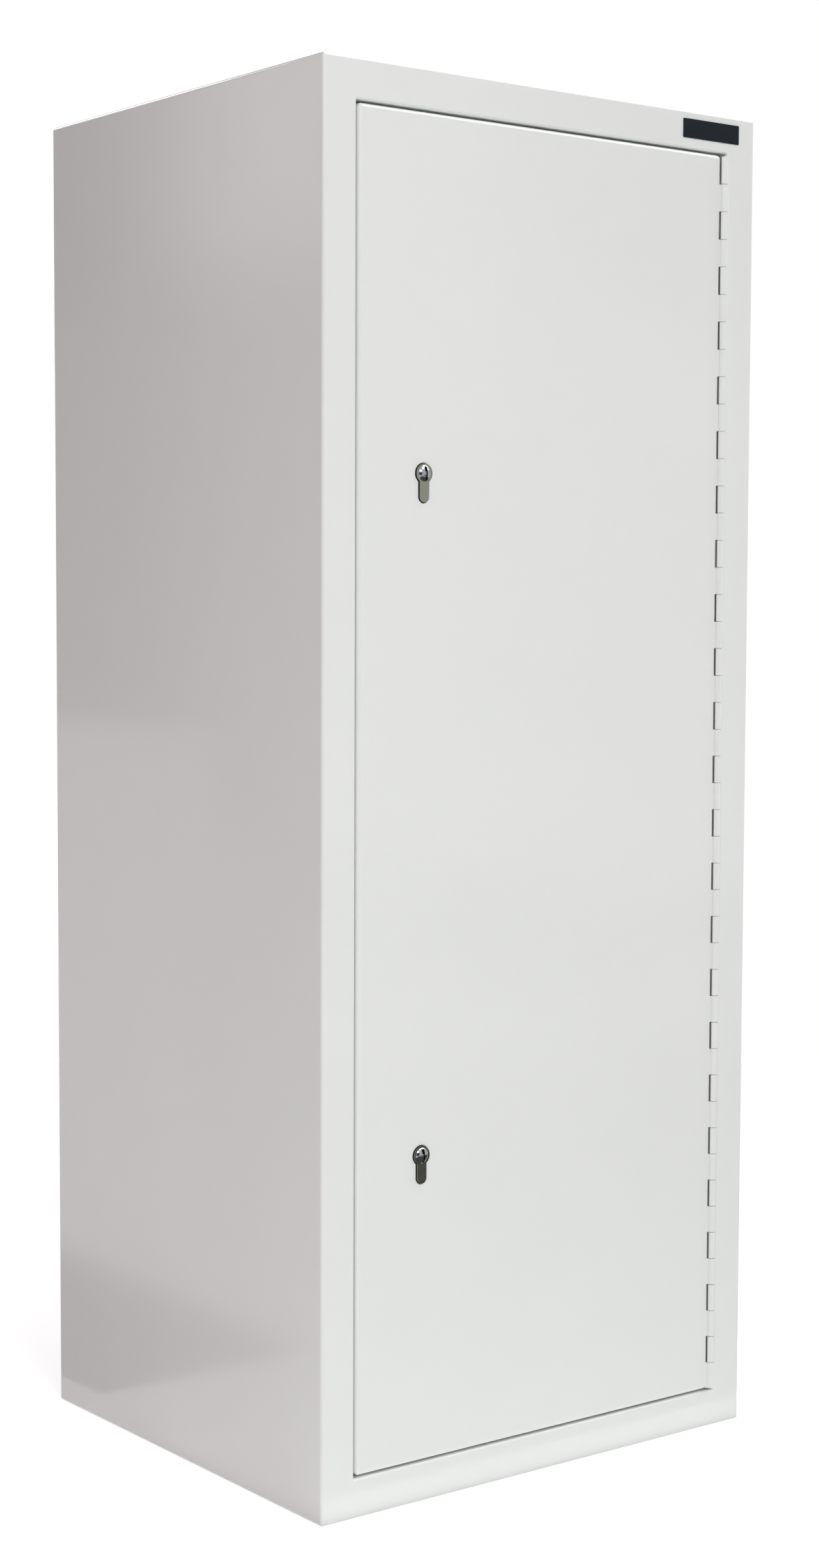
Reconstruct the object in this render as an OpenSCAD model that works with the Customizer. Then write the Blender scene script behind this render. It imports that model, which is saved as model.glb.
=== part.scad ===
// Lockable steel medicine cabinet: welded folded body, flush door on a full-height continuous hinge,
// two deadlocks with half cylinders of the common key profile, and three lift-out shelves on slotted rails.
// Origin: middle of the base. +Z up, front at -Y, hinges on the right (+X). Millimetres.

/* [Cabinet body] */
// Overall width
cabinet_w = 500; // [460:5:700]
// Overall depth, front face of the frame to the wall
cabinet_d = 450; // [300:5:600]
// Overall height
cabinet_h = 1250; // [1100:10:1600]
// Thickness of the body and door sheet
sheet_t = 2; // [1.5:0.25:3]
// Inside radius of every bend in that sheet
bend_inner_r = 1; // [0.5:0.25:2]
// Width of the flange that the back sheet is welded to
rear_flange_w = 20; // [12:1:40]
// Thickness of the back sheet
back_t = 2; // [1.5:0.25:3]

/* [Front frame] */
// Width of the frame face around the door
frame_w = 35; // [30:1:60]
// How far the door stop reaches into the opening
stop_w = 12; // [9:1:20]

/* [Wall fixing] */
// Diameter of the four wall-bolt holes
fixing_hole_d = 13; // [9:0.5:16]
// Height of the lower pair of holes, and drop of the upper pair from the top
fixing_margin_z = 150; // [100:5:250]
// Distance of the holes from each side of the cabinet
fixing_margin_x = 75; // [60:5:110]
// Thickness of the two anchor plates
anchor_t = 3; // [2:0.5:6]
// Height of each anchor plate
anchor_h = 50; // [40:1:100]
// Distance from a hole to the end of its anchor plate
anchor_end = 25; // [18:1:35]

/* [Door] */
// Gap between the door and the frame at the lock side, top and bottom
door_gap = 2; // [1.5:0.25:4]
// Inside radius of the bends around the door's front face
door_bend_inner_r = 2; // [0.5:0.25:2]
// Depth of the door, front face to back face
door_depth = 16; // [15:0.5:30]
// Thickness of the inner door sheet
liner_t = 1.5; // [1:0.25:2]
// Depth of the inner sheet's folded edge
liner_edge = 10; // [6:1:12]
// Width of each stiffener inside the door
stiffener_w = 60; // [40:1:80]
// Thickness of the stiffener sheet
stiffener_t = 1.5; // [1:0.25:2]
// Distance from the hinge edge of the door to the first stiffener
stiffener_inset = 60; // [45:1:70]
// Distance from the first stiffener to the second, middle to middle
stiffener_pitch = 130; // [100:1:140]
// Distance between the closed door and the door stop
stop_gap = 2; // [1.5:0.25:4]
// Diameter of the rubber door buffers
buffer_d = 9; // [6:0.5:9]
// Distance of the end buffers from the top and bottom of the cabinet
buffer_margin = 150; // [100:5:250]

/* [Hinge] */
// Number of knuckles, an even number: the top one is the frame's and the bottom one the door's
knuckle_count = 46; // [30:2:60]
// Diameter of the hinge pin
pin_d = 4.5; // [4:0.25:6]
// Thickness of the hinge leaves
leaf_t = 1.8; // [1.5:0.1:2.5]
// Depth of the hinge leaves from the middle of the pin
leaf_w = 14; // [10:0.5:14]
// Space between two neighbouring knuckles
knuckle_gap = 0.5; // [0.3:0.1:1]
// Space between the door's edge and the frame's knuckles
hinge_side_gap = 1.6; // [0.5:0.1:2]
// Distance of the hinge's ends from the door's ends
hinge_end_gap = 1; // [0:0.5:5]
// Radial clearance of every part that turns in another
running_clearance = 0.05; // [0.03:0.01:0.09]

/* [Security bar] */
// Thickness of the bar's sheet
bar_t = 2; // [1.5:0.25:3]
// Width of the bar's foot on the door
bar_foot_w = 20; // [15:1:40]
// How far the bar reaches behind the door stop
bar_reach = 10; // [6:0.5:12]
// Distance from the bar's web to the edge of the door stop
bar_web_gap = 7; // [4:0.5:15]
// Distance of the bar's ends, and of the lock cover's ends, from the door's ends
bar_end_gap = 32; // [20:1:60]

/* [Deadlocks] */
// Drop of the upper cylinder from the top of the cabinet
upper_lock_drop = 344; // [250:1:450]
// Height of the lower cylinder above the base
lower_lock_height = 311; // [250:1:450]
// Distance from the forend's face to the middle of the cylinder
backset = 55; // [50:1:65]
// Thickness of the forend plate
forend_t = 3; // [2.5:0.25:4]
// Height of the forend plate
forend_h = 120; // [110:1:140]
// Width of the forend plate
forend_w = 19; // [18:0.5:20]
// Thickness of the lock case, over both of its faces
case_t = 16; // [15:0.5:18]
// Sheet thickness of the lock case and its cover plate
case_wall = 1.5; // [1:0.25:2]
// Depth of the lock case behind the middle of the cylinder
case_rear = 20; // [19:0.5:30]
// Height of the lock case above the cylinder's middle
case_up = 50; // [49:1:58]
// Height of the lock case below the cylinder's middle
case_down = 30; // [29:1:40]
// Thickness of the deadbolt
bolt_t = 9; // [7:0.5:10]
// Height of the deadbolt
bolt_h = 25; // [20:0.5:26]
// Height of the deadbolt's lower edge above the cylinder's middle
bolt_rise = 18; // [17:0.5:19]
// Travel of the deadbolt
bolt_throw = 20; // [12:1:20]
// Length of the deadbolt
bolt_len = 62; // [58:1:66]
// Metal left behind the guide slot at the deadbolt's inner end
bolt_end_wall = 5; // [3:0.5:7]
// Clearance of the deadbolt in its slots, and in front of the strike
bolt_clearance = 0.5; // [0.3:0.1:1]
// Diameter of the stud that guides the deadbolt
stud_d = 6; // [4:0.5:7]
// Thickness of the strike plates behind the door stop
strike_t = 2; // [1:0.25:3]
// Height of the strike plates
strike_h = 60; // [50:1:90]
// Diameter of the lock-case screws
case_screw_d = 4; // [3:0.5:4.5]
// Distance of the lock-case screws from the case's edges
case_screw_inset = 6; // [5:0.5:7]
// Drop of the lock-case screw beside the forend, below the cylinder's middle
forend_screw_drop = 8; // [6:0.5:9]
// Diameter of the cylinder's fixing screw
fixing_screw_d = 5; // [4:0.5:5]

/* [Half cylinders] */
// Diameter of the cylinder's round part
cylinder_d = 17; // [16.5:0.1:17.5]
// Width of the cylinder's foot
foot_w = 10; // [9.5:0.1:10.5]
// Height of the whole cylinder profile
profile_h = 33.5; // [32:0.25:34]
// Length of the cylinder behind the middle of its cam
cylinder_rear = 10; // [9:0.5:15]
// How far the cylinder stands out of the door
face_proud = 1.75; // [1:0.25:4]
// Diameter of the plug that the key turns
plug_d = 14.4; // [12:0.1:14.5]
// Height of the plug's domed face over the cylinder's face
plug_dome_h = 2.6; // [0.3:0.1:3]
// Width of the plug's flat rim around the dome, level with the cylinder's face
plug_rim_w = 0.3; // [0.2:0.1:1]
// Width of the keyway's narrow lower part
keyway_w = 1.4; // [1:0.1:2]
// Height of the keyway
keyway_h = 12; // [7:0.1:12]
// Depth of the keyway
keyway_depth = 22; // [15:1:22]
// Width of the keyway's wide upper part
keyway_top_w = 2.4; // [2:0.1:3.6]
// Height of the keyway's wide upper part
keyway_top_h = 4.4; // [2:0.1:5]
// Distance of the narrow part's middle from the wide part's middle
keyway_offset = 0.8; // [0:0.1:1]
// Reach of the cam from the middle of the cylinder
cam_reach = 15.3; // [14:0.1:15.5]
// Width of the cam along the cylinder
cam_w = 9.5; // [8:0.25:9.5]
// Side clearance of the cam in the cylinder
cam_clearance = 0.25; // [0.15:0.05:0.4]
// Width of the cam's nose
cam_nose_w = 6; // [4:0.5:8]
// Side of the plug's square tail in the cam
tail_side = 7; // [5:0.25:8]
// Clearance around the cylinder in the door and the lock case
cylinder_clearance = 0.7; // [0.3:0.1:1]

/* [Lock cover] */
// Thickness of the cover's sheet
cover_t = 1.5; // [1:0.25:2]
// Space between the cover and the edge of the door stop
cover_gap = 2.8; // [2.5:0.1:6]
// Space inside the cover beside and behind the locks
cover_space = 1; // [0.5:0.25:3]
// Space between the cover's side and the forends
forend_gap = 0.2; // [0.1:0.1:1]
// Width of the cover's screwed flange
cover_flange_w = 14; // [12:1:20]
// Diameter of the cover screws
cover_screw_d = 4; // [3:0.5:5]
// Number of cover screws
cover_screw_count = 6; // [3:1:9]
// Distance of the end screws from the cover's ends
cover_screw_margin = 30; // [15:1:60]

/* [Shelves] */
// Number of the slot that carries the lower shelf, counted from the bottom
lower_shelf_slot = 10; // [4:1:14]
// Number of the slot that carries the middle shelf
middle_shelf_slot = 22; // [18:1:25]
// Number of the slot that carries the upper shelf
upper_shelf_slot = 34; // [29:1:36]
// Thickness of the shelf sheet
shelf_t = 1.2; // [0.8:0.1:2]
// Inside radius of the shelf's bends
shelf_bend_r = 0.8; // [0.5:0.1:1.5]
// Height of the shelf's folded edges
shelf_edge_h = 20; // [15:1:30]
// Width of the return under the shelf's front and back edges
shelf_return_w = 10; // [6:1:20]
// Distance from the frame's face to the shelf's front edge
shelf_front = 55; // [50:1:65]
// Distance from the shelf's back edge to the wall side of the cabinet
shelf_rear_gap = 25; // [15:1:45]
// Space between the shelf's sides and the rails
shelf_side_gap = 2; // [1:0.5:4]

/* [Shelf rails and clips] */
// Width of the raised middle of each rail
rail_w = 20; // [16:1:30]
// Height of the rail off the side wall
rail_h = 8; // [6:0.5:12]
// Thickness of the rail's sheet
rail_t = 1.2; // [0.8:0.1:1.5]
// Width of each welded edge of a rail
rail_edge = 7; // [5:1:12]
// Distance of the rails' ends from the floor and roof of the cabinet
rail_end_gap = 60; // [40:5:70]
// Distance from the frame's face to the middle of the front rails
front_rail_at = 100; // [85:1:130]
// Distance from the back of the cabinet to the middle of the rear rails
rear_rail_at = 70; // [60:1:100]
// Distance from one slot to the next
slot_pitch = 25; // [25:1:26]
// Height of a slot
slot_h = 4; // [3:0.25:6]
// Width of a slot
slot_w = 12; // [8:0.5:14]
// Thickness of a shelf clip
clip_t = 1.8; // [1.2:0.1:2.5]
// Side clearance of a clip in its slot
clip_clearance = 0.5; // [0.2:0.1:1]
// How far a clip reaches under the shelf
clip_reach = 12; // [8:0.5:20]
// Height of the clip's plate on the face of the rail
clip_plate_h = 14; // [8:1:18]
// How far a clip's lug hangs behind the rail's face
clip_lug_h = 6; // [3:0.5:12]

/* [Name plate] */
// Width of the blank plate on the frame
plate_w = 71; // [40:1:80]
// Height of the blank plate
plate_h = 17.5; // [12:0.5:24]
// Thickness of the blank plate
plate_t = 0.8; // [0.5:0.1:1.5]
// Distance from the plate's right end to the side of the cabinet
plate_right = 21; // [10:1:60]
// Distance from the plate's top edge to the top of the cabinet
plate_drop = 8; // [5:0.5:10]
// Radius of the plate's corners
plate_corner_r = 1; // [0.5:0.25:3]

/* [Hidden] */
$fn = 64;
cut = 1;                                          // how far a cutting shape runs past what it cuts
bend_r = bend_inner_r + sheet_t;                  // outside radius of a bend
half_w = cabinet_w / 2;

// Front frame and door stop
opening_x = half_w - frame_w;                     // half the width of the opening
stop_front = door_depth + stop_gap;
stop_back = stop_front + sheet_t;
stop_edge_x = opening_x - stop_w;                 // half the clear width between the stops

// Hinge: the knuckles touch the frame's lip, and the pin's middle lies in the plane of the front face
pin_hole_r = pin_d / 2 + running_clearance;
knuckle_r = pin_hole_r + leaf_t;
pin_x = opening_x - knuckle_r;
leaf_relief = 0.6;                                // space between a leaf and the other leaf's knuckles
leaf_front = knuckle_r + leaf_relief;

// Door
door_left = -opening_x + door_gap;
door_right = pin_x - knuckle_r - hinge_side_gap;
door_w = door_right - door_left;
door_bottom = frame_w + door_gap;
door_h = cabinet_h - 2 * door_bottom;
door_mid_x = (door_left + door_right) / 2;
liner_front = door_depth - liner_t;

hinge_bottom = door_bottom + hinge_end_gap;
knuckle_pitch = (door_h - 2 * hinge_end_gap) / knuckle_count;
hinge_h = knuckle_pitch * knuckle_count - knuckle_gap;

// Security bar: its hook passes behind the stop with this much room while the door swings
swing_clearance = 1;
hook_front = norm([pin_x - stop_edge_x, stop_back]) + swing_clearance;
web_x = stop_edge_x - bar_web_gap;

// Locks: the bolt passes behind the strike, and everything else in the lock is set by the bolt's plane
bolt_front = stop_back + strike_t + bolt_clearance;
lock_mid = bolt_front + bolt_t / 2;               // depth of the middle of bolt, case and cam
case_front = lock_mid - case_t / 2;
case_back = lock_mid + case_t / 2;
backing_t = case_front - door_depth;              // packing between the door and the lock case
cylinder_back = lock_mid + cylinder_rear;
cover_left = -stop_edge_x + cover_gap;
cover_back = cylinder_back + cover_space + cover_t;
forend_x = cover_left + cover_t + forend_gap;
plug_x = forend_x + backset;
cover_right = plug_x + case_rear + cover_space + cover_t;
cover_bottom = door_bottom + bar_end_gap;
cover_h = door_h - 2 * bar_end_gap;
lock_z = [lower_lock_height, cabinet_h - upper_lock_drop];
bolt_tip = -backset - forend_gap - cover_t / 2;   // tip of the drawn bolt, from the cylinder's middle
foot_drop = profile_h - cylinder_d / 2 - foot_w / 2;  // middle of the foot's rounded end, below the plug
stud_x = bolt_tip + bolt_len - bolt_throw - stud_d / 2 - bolt_clearance - bolt_end_wall;
case_screw_x = case_rear - case_screw_inset;
screw_spots = [
    [case_screw_x, case_screw_inset - case_down],
    [case_screw_x, case_up - case_screw_inset],
    [forend_t + case_screw_inset - backset, -forend_screw_drop]
];
head_r_ratio = 0.9;                               // radius of a screw's head over the screw's diameter
head_h_ratio = 0.5;                               // height of a screw's head over the screw's diameter
cam_gap_front = lock_mid - cam_w / 2 - cam_clearance;
cam_gap_w = cam_w + 2 * cam_clearance;
cam_hub_r = cylinder_d / 2 - 0.5;                 // the cam's hub lies just inside the cylinder's outline
plug_dome_r = (pow(plug_d / 2 - plug_rim_w, 2) + pow(plug_dome_h, 2)) / (2 * plug_dome_h);
cover_screw_x = cover_right + cover_flange_w / 2;
cover_screw_step = (cover_h - 2 * cover_screw_margin) / (cover_screw_count - 1);

// Shelves, rails and clips
wall_x = half_w - sheet_t;                        // inner face of the side walls
rail_x = wall_x - rail_h;                         // face of the rails
shelf_w = 2 * (rail_x - shelf_side_gap);
shelf_d = cabinet_d - shelf_front - shelf_rear_gap;
rail_len = cabinet_h - 2 * rail_end_gap;
slot_count = floor(rail_len / slot_pitch);
first_slot_z = rail_end_gap + (rail_len - (slot_count - 1) * slot_pitch) / 2;
shelf_slots = [lower_shelf_slot, middle_shelf_slot, upper_shelf_slot];
rail_depths = [front_rail_at, cabinet_d - rear_rail_at];

// Wall fixing
fixing_x = half_w - fixing_margin_x;
fixing_z = [fixing_margin_z, cabinet_h - fixing_margin_z];
back_front = cabinet_d - sheet_t - back_t;        // depth of the back sheet's inner face
back_sheet_gap = 0.5;
back_edge = bend_r + back_sheet_gap;              // margin between the back sheet and the outside

paint = "white";
inner_paint = "whitesmoke";
plated = "silver";
polished = "gainsboro";
zinc = "lightgray";

// Moves a shape drawn with y = depth behind the front face into the cabinet's own frame
module from_front() translate([0, -cabinet_d / 2, 0]) children();

// A rectangle from one corner to the other
module rect(low, high) translate(low) square(high - low);

// A block from one corner to the other
module block(low, high) translate(low) cube(high - low);

// A rectangle of w by h, centred, with round corners
module round_rect(w, h, r) {
    square([w - 2 * r, h], center = true);
    square([w, h - 2 * r], center = true);
    for (x = [-1, 1], y = [-1, 1]) translate([x * (w / 2 - r), y * (h / 2 - r)]) circle(r);
}

// A quarter of a bent sheet; sx and sy say which quarter of the ring
module bend(centre, inner, thickness, sx, sy) translate(centre) intersection() {
    difference() {
        circle(inner + thickness);
        circle(inner);
    }
    rect([min(0, sx) * (inner + thickness + cut), min(0, sy) * (inner + thickness + cut)],
         [max(0, sx) * (inner + thickness + cut), max(0, sy) * (inner + thickness + cut)]);
}

// A straight tube or rod along Y, between two depths
module rod_y(r, front, back) translate([0, front, 0]) rotate([-90, 0, 0]) cylinder(r = r, h = back - front);

// A flat shape drawn in X and Z, between two depths
module plate_y(front, back)
    translate([0, back, 0]) rotate([90, 0, 0]) linear_extrude(back - front) children();

// Section through one side of the body: x runs inwards from the outer face, y back from the front face
module body_section() {
    rect([0, bend_r], [sheet_t, cabinet_d - bend_r]);
    bend([bend_r, bend_r], bend_inner_r, sheet_t, -1, -1);
    rect([bend_r, 0], [frame_w - bend_r, sheet_t]);
    bend([frame_w - bend_r, bend_r], bend_inner_r, sheet_t, 1, -1);
    rect([frame_w - sheet_t, bend_r], [frame_w, stop_front - bend_inner_r]);
    bend([frame_w + bend_inner_r, stop_front - bend_inner_r], bend_inner_r, sheet_t, -1, 1);
    rect([frame_w + bend_inner_r, stop_front], [frame_w + stop_w, stop_back]);
    bend([bend_r, cabinet_d - bend_r], bend_inner_r, sheet_t, -1, 1);
    rect([bend_r, cabinet_d - sheet_t], [rear_flange_w, cabinet_d]);
}

// One folded side of the body, along +Z, mitred at both ends
module folded_side(length) {
    reach = max(frame_w + stop_w, rear_flange_w) + cut;
    intersection() {
        linear_extrude(length) body_section();
        plate_y(-cut, cabinet_d + cut)
            polygon([[-cut, -cut], [reach, reach], [reach, length - reach], [-cut, length + cut]]);
    }
}

// Everything inside the body's outline, whose four long corners are round
module body_outline() intersection() {
    children();
    translate([0, 0, cabinet_h / 2]) plate_y(-cut, cabinet_d + cut) round_rect(cabinet_w, cabinet_h, bend_r);
}

module left_side_panel() color(paint) from_front() body_outline()
    translate([-half_w, 0, 0]) folded_side(cabinet_h);

module right_side_panel() color(paint) from_front() body_outline()
    mirror([1, 0, 0]) translate([-half_w, 0, 0]) folded_side(cabinet_h);

module top_panel() color(paint) from_front() body_outline()
    translate([-half_w, 0, cabinet_h]) rotate([0, 90, 0]) folded_side(cabinet_w);

module bottom_panel() color(paint) from_front() body_outline()
    mirror([0, 0, 1]) translate([-half_w, 0, 0]) rotate([0, 90, 0]) folded_side(cabinet_w);

// The wall-bolt holes at one height, between two depths
module fixing_holes(z, front, back)
    for (x = [-fixing_x, fixing_x]) translate([x, 0, z]) rod_y(fixing_hole_d / 2, front, back);

module back_panel() color(paint) from_front() difference() {
    block([back_edge - half_w, back_front, back_edge],
          [half_w - back_edge, back_front + back_t, cabinet_h - back_edge]);
    for (z = fixing_z) fixing_holes(z, back_front - cut, back_front + back_t + cut);
}

module anchor_plate(z) color(paint) from_front() difference() {
    block([-fixing_x - anchor_end, back_front - anchor_t, z - anchor_h / 2],
          [fixing_x + anchor_end, back_front, z + anchor_h / 2]);
    fixing_holes(z, back_front - anchor_t - cut, back_front + cut);
}

module upper_anchor_plate() anchor_plate(fixing_z[1]);
module lower_anchor_plate() anchor_plate(fixing_z[0]);

// A plate welded behind the door stop, which the deadbolt bears on
module strike_plate(z) color(paint) from_front()
    block([-opening_x - sheet_t, stop_back, z + bolt_rise + bolt_h / 2 - strike_h / 2],
          [-stop_edge_x, stop_back + strike_t, z + bolt_rise + bolt_h / 2 + strike_h / 2]);

module upper_strike_plate() strike_plate(lock_z[1]);
module lower_strike_plate() strike_plate(lock_z[0]);

module door_buffers() color("dimgray") from_front()
    for (z = [buffer_margin, cabinet_h / 2, cabinet_h - buffer_margin])
        translate([-(opening_x + stop_edge_x) / 2, 0, z]) rod_y(buffer_d / 2, door_depth, stop_front);

module name_plate() color("black") from_front()
    translate([half_w - plate_right - plate_w / 2, 0, cabinet_h - plate_drop - plate_h / 2])
        plate_y(-plate_t, 0) round_rect(plate_w, plate_h, plate_corner_r);

// The knuckles of one leaf: first is 0 for the door's and 1 for the frame's
module knuckles(first, tab_x) for (i = [first : 2 : knuckle_count - 1])
    translate([0, 0, hinge_bottom + i * knuckle_pitch]) linear_extrude(knuckle_pitch - knuckle_gap) {
        translate([pin_x, 0]) circle(knuckle_r);
        rect([min(tab_x, pin_x), 0], [max(tab_x + leaf_t, pin_x), leaf_t]);
        rect([tab_x, 0], [tab_x + leaf_t, leaf_front + cut]);
    }

module hinge_leaf(first, tab_x) difference() {
    union() {
        knuckles(first, tab_x);
        block([tab_x, leaf_front, hinge_bottom], [tab_x + leaf_t, leaf_w, hinge_bottom + hinge_h]);
    }
    translate([pin_x, 0, hinge_bottom - cut]) cylinder(r = pin_hole_r, h = hinge_h + 2 * cut);
}

module hinge_frame_leaf() color(paint) from_front() hinge_leaf(1, opening_x - leaf_t);
module hinge_door_leaf() color(paint) from_front() hinge_leaf(0, door_right);

module hinge_pin() color(zinc) from_front()
    translate([pin_x, 0, hinge_bottom]) cylinder(d = pin_d, h = hinge_h);

// One slotted rail for shelf clips; side is -1 for the left wall and 1 for the right
module rail(side, depth) color(inner_paint) from_front()
    translate([side * wall_x, depth, rail_end_gap]) mirror([side > 0 ? 1 : 0, 0, 0]) difference() {
        linear_extrude(rail_len) {
            rect([rail_h - rail_t, -rail_w / 2], [rail_h, rail_w / 2]);
            for (s = [-1, 1]) mirror([0, s < 0 ? 1 : 0]) {
                rect([0, rail_w / 2 - rail_t], [rail_h, rail_w / 2]);
                rect([0, rail_w / 2 - rail_t], [rail_t, rail_w / 2 + rail_edge]);
            }
        }
        for (i = [0 : slot_count - 1])
            translate([rail_h - rail_t / 2, 0, first_slot_z - rail_end_gap + i * slot_pitch])
                cube([rail_t + 2 * cut, slot_w, slot_h], center = true);
    }

module rail_left_front() rail(-1, rail_depths[0]);
module rail_left_rear() rail(-1, rail_depths[1]);
module rail_right_front() rail(1, rail_depths[0]);
module rail_right_rear() rail(1, rail_depths[1]);

function slot_z(number) = first_slot_z + (number - 1) * slot_pitch;

// Height of the ledge that a shelf in this slot stands on: the clip rests on the slot's lower edge
function ledge_z(number) = slot_z(number) - slot_h / 2 + clip_t;

// A clip on the left wall: ledge through the slot, plate on the rail's face, lug behind it
module clip(depth, number) translate([-rail_x, depth - slot_w / 2 + clip_clearance, ledge_z(number)]) {
    wide = slot_w - 2 * clip_clearance;
    lug_h = clip_t + clip_lug_h;
    block([-rail_t - clip_t, 0, -clip_t], [shelf_side_gap + clip_reach, wide, 0]);
    block([0, 0, -clip_plate_h], [clip_t, wide, 0]);
    block([-rail_t - clip_t, 0, -lug_h], [-rail_t, wide, 0]);
}

module shelf_clips() color(zinc) from_front()
    for (side = [0, 1], depth = rail_depths, number = shelf_slots) mirror([side, 0, 0]) clip(depth, number);

// A shallow tray of w by h with its open side at the back, y from 0 to depth; its right edge can be square
module tray(w, h, depth, thickness, inner, square_right = false) {
    outer = inner + thickness;
    module form(w, h, front, r) intersection() {
        over = square_right ? r : 0;
        plate_y(front, depth + cut) round_rect(w, h, r);
        translate([over / 2, front + depth, -h / 2]) linear_extrude(h) round_rect(w + over, 2 * depth, r);
        translate([-w / 2, front + depth, 0]) rotate([90, 0, 90])
            linear_extrude(w) round_rect(2 * depth, h, r);
    }
    difference() {
        form(w, h, 0, outer);
        form(w - 2 * thickness, h - 2 * thickness, thickness, inner);
        block([-w, depth, -h], [w, 3 * depth, h]);
    }
}

// Outline of the cylinder with the plug's middle at the origin, grown by a clearance
module cylinder_outline(grow) {
    circle(cylinder_d / 2 + grow);
    translate([0, -foot_drop]) circle(foot_w / 2 + grow);
    rect([-foot_w / 2 - grow, -foot_drop], [foot_w / 2 + grow, 0]);
}

// Moves a lock part, drawn around the plug's middle, to one of the locks
module at_lock(z) from_front() translate([plug_x, 0, z]) children();

// The holes for both cylinders, between two depths
module cylinder_holes(front, back) for (z = lock_z)
    translate([plug_x, 0, z]) plate_y(front, back) cylinder_outline(cylinder_clearance);

// Puts a part at each of the cover's screws
module at_cover_screws() for (i = [0 : cover_screw_count - 1])
    translate([cover_screw_x, 0, cover_bottom + cover_screw_margin + i * cover_screw_step]) children();

// The holes for the cover's screws, between two depths
module cover_screw_holes(front, back)
    at_cover_screws() rod_y(cover_screw_d / 2 + running_clearance, front, back);

// Puts a part at each of the screws that hold a lock case
module at_case_screws() for (spot = screw_spots) translate([spot[0], 0, spot[1]]) children();

// The holes for the screws that hold a lock case, between two depths
module screw_holes(front, back) at_case_screws() rod_y(case_screw_d / 2 + running_clearance, front, back);

module door_skin() color(paint) from_front() difference() {
    translate([door_mid_x, 0, cabinet_h / 2]) tray(door_w, door_h, door_depth, sheet_t, door_bend_inner_r, true);
    cylinder_holes(-cut, sheet_t + cut);
}

module door_liner() color(inner_paint) from_front() difference() {
    translate([door_mid_x, door_depth, cabinet_h / 2]) mirror([0, 1, 0])
        tray(door_w - 2 * sheet_t, door_h - 2 * sheet_t, liner_edge + liner_t, liner_t, bend_inner_r);
    cylinder_holes(liner_front - cut, door_depth + cut);
    for (z = lock_z) translate([plug_x, 0, z]) screw_holes(liner_front - cut, door_depth + cut);
    cover_screw_holes(liner_front - cut, door_depth + cut);
}

// A hat-section stiffener between the two door sheets
module stiffener(x) color(inner_paint) from_front() translate([x, sheet_t, door_bottom + bar_end_gap]) {
    deep = liner_front - sheet_t;
    crown = stiffener_w / 4;
    linear_extrude(door_h - 2 * bar_end_gap) {
        rect([-crown, deep - stiffener_t], [crown, deep]);
        for (s = [0, 1]) mirror([s, 0]) {
            rect([crown - stiffener_t, 0], [crown, deep]);
            rect([crown - stiffener_t, 0], [stiffener_w / 2, stiffener_t]);
        }
    }
}

module stiffener_hinge_side() stiffener(door_right - stiffener_inset);
module stiffener_lock_side() stiffener(door_right - stiffener_inset - stiffener_pitch);

module security_bar() color(paint) from_front() translate([0, 0, cover_bottom]) linear_extrude(cover_h) {
    rect([web_x - bar_foot_w, door_depth], [web_x, door_depth + bar_t]);
    rect([web_x - bar_t, door_depth], [web_x, hook_front + bar_t]);
    rect([web_x - bar_t, hook_front], [stop_edge_x + bar_reach, hook_front + bar_t]);
}

// The slot that a deadbolt passes through, between two places along X
module bolt_slot(left, right)
    block([left, bolt_front - bolt_clearance, bolt_rise - bolt_clearance],
          [right, bolt_front + bolt_t + bolt_clearance, bolt_rise + bolt_h + bolt_clearance]);

module lock_cover() color(inner_paint) from_front() difference() {
    union() {
        difference() {
            block([cover_left, door_depth, cover_bottom], [cover_right, cover_back, cover_bottom + cover_h]);
            block([cover_left + cover_t, door_depth - cut, cover_bottom + cover_t],
                  [cover_right - cover_t, cover_back - cover_t, cover_bottom + cover_h - cover_t]);
        }
        block([cover_right - cover_t, door_depth, cover_bottom],
              [cover_right + cover_flange_w, door_depth + cover_t, cover_bottom + cover_h]);
    }
    for (z = lock_z) translate([0, 0, z]) bolt_slot(cover_left - cut, cover_left + cover_t + cut);
    cover_screw_holes(door_depth - cut, door_depth + cover_t + cut);
}

// A pan-head screw along Y: its head's seat is at the depth seat, and its end at front
module screw_y(d, front, seat) {
    rod_y(d / 2, front, seat);
    rod_y(d * head_r_ratio, seat, seat + d * head_h_ratio);
}

module lock_cover_screws() color(zinc) from_front()
    at_cover_screws() screw_y(cover_screw_d, liner_front, door_depth + cover_t);

module backing_plate(z) color(zinc) at_lock(z) difference() {
    block([-backset + forend_t, door_depth, -case_down], [case_rear, case_front, case_up]);
    plate_y(door_depth - cut, case_front + cut) cylinder_outline(cylinder_clearance);
    screw_holes(door_depth - cut, case_front + cut);
}

module forend(z) color(zinc) at_lock(z) difference() {
    block([-backset, lock_mid - forend_w / 2, (case_up - case_down - forend_h) / 2],
          [-backset + forend_t, lock_mid + forend_w / 2, (case_up - case_down + forend_h) / 2]);
    bolt_slot(-backset - cut, -backset + forend_t + cut);
    translate([-backset - cut, lock_mid, -foot_drop]) rotate([0, 90, 0]) {
        cylinder(d = fixing_screw_d + 2 * running_clearance, h = forend_t + 2 * cut);
        cylinder(r = fixing_screw_d * head_r_ratio + 2 * running_clearance, h = forend_t / 2 + cut);
    }
}

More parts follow.
